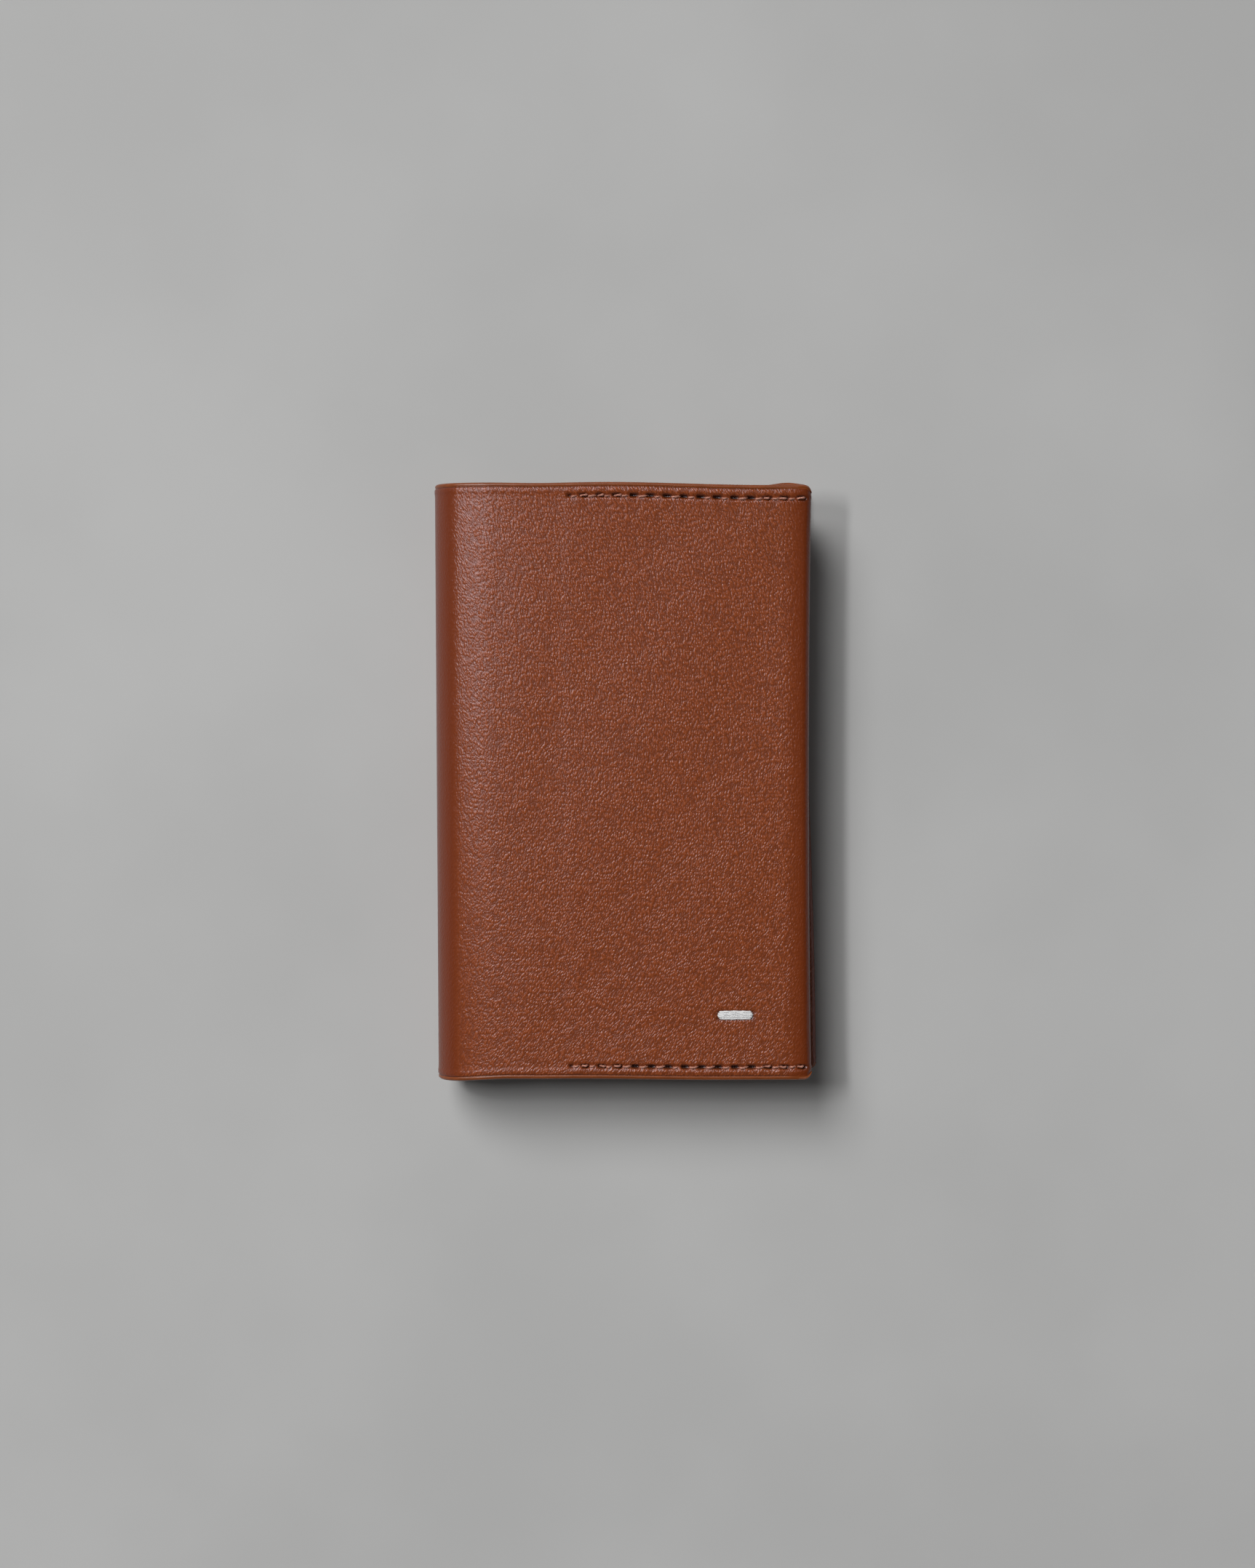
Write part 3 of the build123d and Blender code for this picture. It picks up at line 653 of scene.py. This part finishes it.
def leather_material():
    """Full-grain brown leather: a fine net of soft wrinkles, slightly mottled, smoother where it is stretched, with
    painted shade in its valleys and recesses and painted highlights on its ridges.
    """
    make = Maker("leather_grain", **{"Specular IOR Level": 0.6, "Specular Tint": (1.0, 0.87, 0.93, 1)})
    place = grain_place(make)
    wrinkles = make.noise(4.2, 1.0, 0.5, place)
    pebbles = make.span(make.cells(2.6, place, "SMOOTH_F1", Randomness=0.8, Smoothness=0.5), 0.1, 0.65, 1.0, 0.0)
    fine = make.noise(9.0, 2.0, 0.6, place)
    relief = make.maths("ADD", make.maths("MULTIPLY", wrinkles, 0.8), make.maths("MULTIPLY", pebbles, 0.4))
    relief = make.maths("ADD", relief, make.maths("MULTIPLY", fine, 0.1))
    calm = make.span(make.mark("stretch"), 0.0, 1.0, 1.0, 0.5)
    patchy = make.span(make.noise(0.3, 2.0, 0.5), 0.3, 0.7, 0.94, 1.06)
    make.set("Normal", make.bump(make.maths("MULTIPLY", relief, make.maths("MULTIPLY", calm, patchy)), 0.095))
    mottle = make.noise(0.16, 4.0, 0.6)
    base = make.mix(make.span(mottle, 0.3, 0.7), (0.262, 0.0550, 0.0108, 1), (0.268, 0.0565, 0.0114, 1))
    # Painted shade in the grain's valleys.
    valley_shade = make.maths("MULTIPLY", make.span(relief, 0.40, 0.68, 0.42, 0.0), calm)
    base = make.mix(valley_shade, base, (0.055, 0.0110, 0.0030, 1))
    # Painted highlight on the grain's ridges.
    ridge_highlight = make.maths("MULTIPLY", make.span(relief, 0.68, 0.95, 0.0, 0.35), calm)
    base = make.mix(ridge_highlight, base, (0.44, 0.120, 0.040, 1))
    # Painted shade: round the spine and at the turned edge the colour is painted darker and more saturated, against
    # the light and reflection that fall on those bends.
    base = make.mix(make.mark("stretch"), base, (0.158, 0.0250, 0.0012, 1))
    # Painted shade: near black in the needle holes, darker in the groove, the crease, the bar's outline and towards
    # the turned edge.
    base = make.mix(make.mark("recess"), base, (0.012, 0.003, 0.0015, 1))
    make.set("Base Color", base)
    make.set("Roughness", make.span(fine, 0.3, 0.7, 0.28, 0.36))
    return make.material


def edge_material():
    """The burnished, painted edge: smooth and a little glossy, with faint brush waves and the fibre below."""
    make = Maker("leather_edge_paint", **{"Coat Weight": 0.08, "Coat Roughness": 0.25, "Specular IOR Level": 0.4})
    long = make.scaled(make.place, (0.5, 2.0, 2.0))
    drift = make.noise(0.9, 3.0, 0.5, long)
    fibre = make.noise(5.0, 4.0, 0.6)
    base = make.mix(make.span(drift, 0.35, 0.65), (0.190, 0.0430, 0.0070, 1), (0.235, 0.0560, 0.0110, 1))
    base = make.mix(make.span(fibre, 0.55, 0.8, 0.0, 0.35), base, (0.100, 0.0240, 0.0060, 1))
    make.set("Base Color", base)
    make.set("Roughness", make.span(fibre, 0.3, 0.7, 0.3, 0.42))
    relief = make.maths("ADD", make.maths("MULTIPLY", drift, 0.8), make.maths("MULTIPLY", fibre, 0.2))
    make.set("Normal", make.bump(relief, 0.05))
    return make.material


def nap_material(name, dark, light, streak):
    """Suede or the leather's flesh side: short, brushed fibres in patches that lie different ways."""
    make = Maker(name, Roughness=0.92, **{"Sheen Weight": 0.35, "Sheen Roughness": 0.5, "Specular IOR Level": 0.2})
    warped = make.warped(1.4, 0.5)
    fibres = make.noise(9.0, 4.0, 0.7, make.scaled(warped, (1.0, 0.4, 1.0), (0, 0, 20)))
    patches = make.noise(0.3, 3.0, 0.6)
    pores = make.cells(3.6, warped, "F1", Randomness=1.0)
    tone = make.maths("ADD", make.maths("MULTIPLY", fibres, 0.6), make.maths("MULTIPLY", patches, 0.4))
    base = make.mix(make.span(tone, 0.34, 0.66), dark, light)
    base = make.mix(make.span(pores, 0.5, 0.8, 0.0, 0.25), base, streak)
    make.set("Base Color", base)
    make.set("Roughness", make.span(fibres, 0.3, 0.7, 0.84, 0.97))
    make.set("Normal", make.bump(fibres, 0.11))
    return make.material


def thread_material(name, dark, light):
    """Bonded polyester thread: fine filaments along the lay, mixed by noise between a darker and a lighter colour.
    """
    make = Maker(name)
    filaments = make.noise(16.0, 3.0, 0.6, make.scaled(make.place, (0.35, 1.0, 1.0), (0, 0, 25)))
    clumps = make.noise(2.5, 2.0, 0.5)
    tone = make.maths("ADD", make.maths("MULTIPLY", filaments, 0.65), make.maths("MULTIPLY", clumps, 0.35))
    make.set("Base Color", make.mix(make.span(tone, 0.36, 0.64), dark, light))
    make.set("Roughness", make.span(filaments, 0.3, 0.7, 0.36, 0.6))
    make.set("Normal", make.bump(filaments, 0.04))
    return make.material


def brushed_material(name, dark, light, along, low, high):
    """Metal with fine lines along one direction, and very faint blotches. low and high are its roughness."""
    make = Maker(name, Metallic=1.0)
    lines = make.noise(7.0, 5.0, 0.75, make.scaled(make.place, along))
    blotch = make.noise(0.25, 4.0, 0.6)
    tone = make.maths("ADD", make.maths("MULTIPLY", lines, 0.92), make.maths("MULTIPLY", blotch, 0.08))
    base = make.mix(make.span(tone, 0.3, 0.7), dark, light)
    make.set("Base Color", base)
    make.set("Roughness", make.span(tone, 0.3, 0.7, low, high))
    make.set("Normal", make.bump(lines, 0.012))
    return make.material


def moulded_material(name, dark, light, low, high, relief=0.03, **shader):
    """Moulded plastic: a fine spark-eroded texture, with shinier and duller patches, low to high in roughness."""
    make = Maker(name, **shader)
    texture = make.noise(9.0, 3.0, 0.65)
    pits = make.cells(4.0, make.warped(0.3, 2.0), "SMOOTH_F1", Randomness=1.0, Smoothness=0.5)
    patches = make.noise(0.35, 3.0, 0.5)
    tone = make.maths("ADD", make.maths("MULTIPLY", texture, 0.5), make.maths("MULTIPLY", patches, 0.5))
    make.set("Base Color", make.mix(make.span(tone, 0.35, 0.65), dark, light))
    make.set("Roughness", make.span(tone, 0.35, 0.65, low, high))
    height = make.maths("ADD", make.maths("MULTIPLY", texture, 0.7), make.maths("MULTIPLY", pits, 0.4))
    make.set("Normal", make.bump(height, relief))
    return make.material


def felt_material():
    """Pressed wool felt: matted fibres in clumps."""
    make = Maker("grey_felt", Roughness=0.96, **{"Sheen Weight": 0.4, "Specular IOR Level": 0.1})
    warped = make.warped(0.9, 1.2)
    fibres = make.noise(8.0, 5.0, 0.75, warped, 1.2)
    clumps = make.noise(1.2, 3.0, 0.6)
    tone = make.maths("ADD", make.maths("MULTIPLY", fibres, 0.6), make.maths("MULTIPLY", clumps, 0.4))
    make.set("Base Color", make.mix(make.span(tone, 0.32, 0.68), (0.03, 0.03, 0.034, 1), (0.11, 0.11, 0.12, 1)))
    make.set("Roughness", make.span(fibres, 0.3, 0.7, 0.88, 1.0))
    make.set("Normal", make.bump(fibres, 0.2))
    return make.material


def floor_material():
    """A plain, pale, matt studio floor with very faint unevenness."""
    make = Maker("studio_floor", Roughness=0.85, **{"Specular IOR Level": 0.25})
    tone = make.noise(0.012, 4.0, 0.5)
    make.set("Base Color", make.mix(make.span(tone, 0.3, 0.7), (0.50, 0.50, 0.495, 1), (0.55, 0.55, 0.545, 1)))
    make.set("Roughness", make.span(tone, 0.3, 0.7, 0.8, 0.9))
    return make.material


LEATHER_GRAIN = leather_material()
LEATHER_EDGE = edge_material()
LEATHER_FLESH = nap_material("leather_flesh", (0.20, 0.085, 0.04, 1), (0.33, 0.16, 0.085, 1), (0.12, 0.05, 0.025, 1))
SUEDE = nap_material("suede_lining", (0.115, 0.05, 0.028, 1), (0.20, 0.095, 0.055, 1), (0.07, 0.03, 0.018, 1))
# The brown thread's light colour is a painted highlight on random filaments and clumps.
THREAD = thread_material("brown_thread", (0.20, 0.065, 0.040, 1), (0.78, 0.380, 0.280, 1))
WHITE_THREAD = thread_material("white_thread", (0.62, 0.62, 0.63, 1), (0.93, 0.93, 0.92, 1))
ALUMINIUM = brushed_material(
    "brushed_aluminium", (0.30, 0.305, 0.315, 1), (0.46, 0.465, 0.475, 1), (2.2, 0.05, 2.2), 0.46, 0.60
)
STEEL = brushed_material("turned_steel", (0.42, 0.42, 0.43, 1), (0.62, 0.62, 0.63, 1), (1.0, 1.0, 0.1), 0.34, 0.48)
SPRING_STEEL = brushed_material(
    "spring_steel", (0.30, 0.31, 0.34, 1), (0.50, 0.51, 0.54, 1), (1.6, 0.1, 1.6), 0.22, 0.36
)
BLACK_STEEL = brushed_material(
    "black_oxide_steel", (0.020, 0.020, 0.022, 1), (0.060, 0.060, 0.064, 1), (1.0, 1.0, 1.0), 0.34, 0.5
)
NICKEL = brushed_material("nickel_plating", (0.50, 0.49, 0.46, 1), (0.68, 0.67, 0.63, 1), (0.8, 0.8, 0.8), 0.14, 0.3)
BLACK_PLASTIC = moulded_material("black_plastic", (0.012, 0.012, 0.013, 1), (0.026, 0.026, 0.028, 1), 0.42, 0.58)
LEVER_PLASTIC = moulded_material(
    "acetal", (0.50, 0.48, 0.44, 1), (0.64, 0.62, 0.58, 1), 0.3, 0.42, 0.015, **{"Subsurface Weight": 0.1}
)
TAPE = moulded_material("foam_tape", (0.32, 0.33, 0.34, 1), (0.46, 0.47, 0.48, 1), 0.6, 0.8, 0.08)
FELT = felt_material()

KEPT = {
    "case_shell": ALUMINIUM,
    "mouth_bezel": BLACK_PLASTIC,
    "base_cap": BLACK_PLASTIC,
    "trigger_button": BLACK_PLASTIC,
    "eject_lever": LEVER_PLASTIC,
    "case_screws": BLACK_STEEL,
    "lever_pin": STEEL,
    "catch_plates": STEEL,
    "card_spring": SPRING_STEEL,
    "closure_magnets": NICKEL,
    "felt_pads": FELT,
    "case_tape": TAPE,
}
for node, material in KEPT.items():
    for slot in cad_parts[node].material_slots:
        slot.material = material

# ---------------------------------------------------------------- pieces
# Half a sheet's rows, from its middle to where the painted edge starts. They are close together at the sewn
# bar, the seam and the crease.
FINE_ROWS = graded(
    0.0,
    ((38.6, 2.0), (41.0, 0.24), (44.0, 1.0), (47.9, 0.5), (49.5, 0.11), (50.05, 0.14), (HALF_HEIGHT - PAINT, 0.05)),
)
PLAIN_ROWS = graded(0.0, ((46.0, 2.0), (50.0, 0.5), (HALF_HEIGHT - PAINT, 0.15)))
SKIN = [LEATHER_GRAIN, LEATHER_EDGE, LEATHER_FLESH]
SOFT = [SUEDE, SUEDE, SUEDE]

# The leather turns about each fold between a point on the flat and one on the spine.
FRONT_TURN = (Vector((-31.30, 0, 7.40)) * MM, Vector((-25.85, 0, 12.85)) * MM)
BACK_TURN = (Vector((-25.60, 0, 0.60)) * MM, Vector((-31.85, 0, 6.85)) * MM)


def dress(obj, finish, nodes, body=None, turn=None, between=None):
    """Hides the CAD nodes that a piece stands for, and attaches the piece to the body it moves with, or else fixes
    it in place. finish is not used.
    """
    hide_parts(*nodes)
    if body:
        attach(obj, body)
    else:
        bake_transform(obj)


upper_turn = {"turn": FRONT_TURN, "between": ("spine", "front")}
lower_turn = {"turn": BACK_TURN, "between": ("back", "spine")}
leather_upper = sheet("leather_upper", FRONT, folded_path, FINE_ROWS, LEATHER, SKIN, leather_relief, recess)
dress(leather_upper, "leather", ("front_cover", "spine_cover"), **upper_turn)
leather_lower = sheet("leather_lower", BACK, folded_path, FINE_ROWS, LEATHER, SKIN, leather_relief, recess)
dress(leather_lower, "leather", ("back_cover",), **lower_turn)
lining_upper = sheet("lining_upper", FRONT, lining_path, PLAIN_ROWS, LINING, SOFT)
dress(lining_upper, "suede", ("front_lining", "spine_lining"), **upper_turn)
lining_lower = sheet("lining_lower", BACK, lining_path, PLAIN_ROWS, LINING, SOFT)
dress(lining_lower, "suede", ("back_lining",), **lower_turn)
for body, cover in (("front", FRONT), ("back", BACK)):
    for end, side in (("top", 1), ("bottom", -1)):
        thread = seam(f"seam_{body}_{end}", cover, side, THREAD)
        dress(thread, "thread", (f"{body}_{end}_stitching",), body=body)
bar = bar_tack("bar_tack", FRONT, WHITE_THREAD)
dress(bar, "white_thread", ("thread_mark",), body="front")

# The case holds the coil's lower end, and the lever its upper end.
spring = torsion_spring("torsion_spring", SPRING_STEEL)
coil_low = Vector((PIN_X, PIN_Y, WIRE_Z + COIL_SLOPE * CASE_LEG)) * MM
coil_high = coil_low + Vector((0, 0, COIL_PITCH * COIL_TURNS)) * MM
dress(spring, "spring_steel", ("lever_spring",), turn=(coil_low, coil_high), between=("back", "lever"))


# ---------------------------------------------------------------- floor, light and camera
def add_floor():
    """A plain floor that the wallet lies on."""
    reach = 3000.0
    points = np.array([(-reach, -reach, 0), (reach, -reach, 0), (reach, reach, 0), (-reach, reach, 0)])
    floor = make_object("floor", points, [(0, 1, 2, 3)], [floor_material()])


def aim(obj, place, target, roll=0.0):
    """Puts obj at a place, looking at the target, with +Y up, then rolls it. Millimetres and degrees."""
    place, target = Vector(place) * MM, Vector(target) * MM
    back = (place - target).normalized()
    right = Vector((0, 1, 0)).cross(back).normalized()
    up = back.cross(right)
    turned = Matrix((right, up, back)).transposed() @ Matrix.Rotation(math.radians(roll), 3, "Z")
    obj.matrix_world = Matrix.Translation(place) @ turned.to_4x4()


def add_lamp(name, kind, place, power, **shape):
    """A soft lamp aimed at the wallet."""
    data = bpy.data.lights.new(name, kind)
    data.energy = power
    for key, value in shape.items():
        setattr(data, key, value)
    lamp = bpy.data.objects.new(name, data)
    bpy.context.scene.collection.objects.link(lamp)
    aim(lamp, place, (0, 0, 7))


def add_camera():
    """Straight above the front cover, leaning a little from the head."""
    data = bpy.data.cameras.new("camera")
    data.lens = 60.76
    data.sensor_width = 36.0
    data.clip_start = 0.01
    camera = bpy.data.objects.new("camera", data)
    bpy.context.scene.collection.objects.link(camera)
    distance, lean = 450.0, math.radians(2.6)
    target = Vector((-0.07, -0.22, TOP_Z))
    place = target + Vector((0, math.sin(lean), math.cos(lean))) * distance
    aim(camera, place, target, -0.18)
    bpy.context.scene.camera = camera


def add_world():
    """Plain white surroundings, brighter near the horizon, so that the sides are lit as well."""
    world = bpy.data.worlds.new("studio")
    bpy.context.scene.world = world
    world.use_nodes = True
    nodes, links = world.node_tree.nodes, world.node_tree.links
    background = nodes["Background"]
    background.inputs["Color"].default_value = (1.0, 1.0, 1.0, 1)
    direction = nodes.new("ShaderNodeTexCoord")
    parts = nodes.new("ShaderNodeSeparateXYZ")
    strength = nodes.new("ShaderNodeMapRange")
    strength.interpolation_type = "SMOOTHSTEP"
    for name, number in (("From Min", 0.05), ("From Max", 0.55), ("To Min", 0.38), ("To Max", 0.045)):
        strength.inputs[name].default_value = number
    links.new(direction.outputs["Generated"], parts.inputs[0])
    links.new(parts.outputs["Z"], strength.inputs["Value"])
    links.new(strength.outputs[0], background.inputs["Strength"])


add_floor()
add_lamp("key", "SUN", (-480, 760, 1000), 2.05, angle=math.radians(31))
add_lamp("strip", "AREA", (-270, 120, 560), 1.05, shape="RECTANGLE", size=0.05, size_y=0.14)
add_world()
add_camera()
bpy.context.scene.view_settings.view_transform = "Standard"
